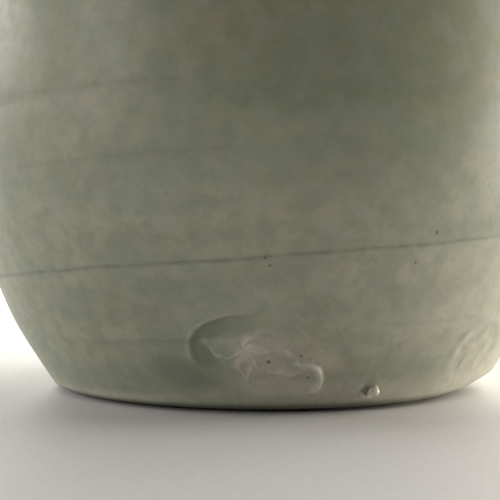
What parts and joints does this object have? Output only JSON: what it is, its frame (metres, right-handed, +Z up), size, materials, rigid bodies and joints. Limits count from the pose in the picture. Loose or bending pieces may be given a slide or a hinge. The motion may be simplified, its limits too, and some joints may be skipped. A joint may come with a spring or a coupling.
{
  "type": "brush pot",
  "caption": "Wheel-thrown ceramic pot with a rounded belly and narrow foot, for standing calligraphy brushes upright.",
  "frame": {"origin": "centre of the foot ring's underside, on the table", "axes": "+Z up along the pot's axis; -Y towards the front, where the oval seal is; +X to the viewer's right"},
  "size_m": [0.1042, 0.1042, 0.118],
  "materials": {
    "bare_clay": "matte, slightly sandy",
    "foot_clay": "matte, slightly sandy",
    "celadon_glaze": "satin",
    "liner_glaze": "satin",
    "seal_glaze": "satin, worn thin",
    "kiln_grit": "satin"
  },
  "bodies": {
    "root": {"thrown_body": "bare_clay", "foot_ring": "foot_clay", "outer_glaze_coat": "celadon_glaze", "liner_glaze_coat": "liner_glaze", "front_seal_pad": "seal_glaze", "side_seal_pad": "seal_glaze", "kiln_crumb_large": "kiln_grit", "kiln_crumb_small": "kiln_grit"}
  },
  "joints": []
}
